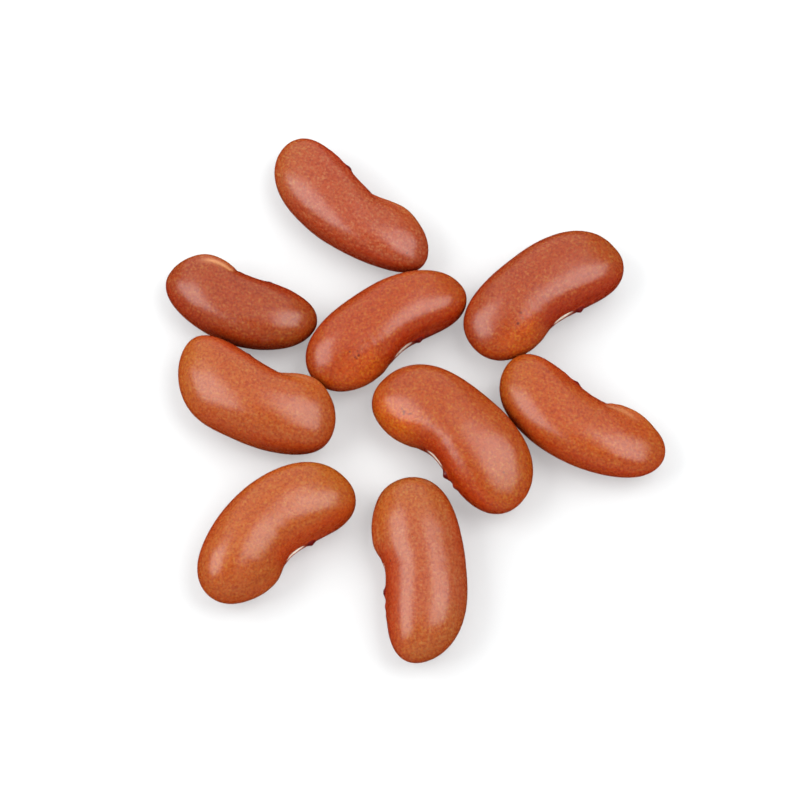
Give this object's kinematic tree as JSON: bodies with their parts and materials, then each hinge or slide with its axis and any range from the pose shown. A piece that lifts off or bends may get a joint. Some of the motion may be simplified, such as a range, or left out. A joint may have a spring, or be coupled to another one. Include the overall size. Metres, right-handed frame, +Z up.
{
  "type": "dried kidney beans",
  "caption": "Loose group of dried light red kidney beans lying flat in one layer, some touching: curved oval seeds with a satin skin and a scar in the hollow side.",
  "frame": {"origin": "centre of the group's bounding box, on the surface that the beans lie on", "axes": "+Z up from that surface, +Y away from the viewer along the group's longer side, +X to the viewer's right"},
  "size_m": [0.0474, 0.0528, 0.0064],
  "materials": {
    "bean_back_skin": "satin dried seed coat",
    "bean_back_left_skin": "satin dried seed coat",
    "bean_middle_skin": "satin dried seed coat",
    "bean_back_right_skin": "satin dried seed coat",
    "bean_left_skin": "satin dried seed coat",
    "bean_centre_skin": "satin dried seed coat",
    "bean_right_skin": "satin dried seed coat",
    "bean_front_left_skin": "satin dried seed coat",
    "bean_front_skin": "satin dried seed coat"
  },
  "bodies": {
    "root": {"bean_back": "bean_back_skin", "bean_back_left": "bean_back_left_skin", "bean_middle": "bean_middle_skin", "bean_back_right": "bean_back_right_skin", "bean_left": "bean_left_skin", "bean_centre": "bean_centre_skin", "bean_right": "bean_right_skin", "bean_front_left": "bean_front_left_skin", "bean_front": "bean_front_skin"}
  },
  "joints": []
}
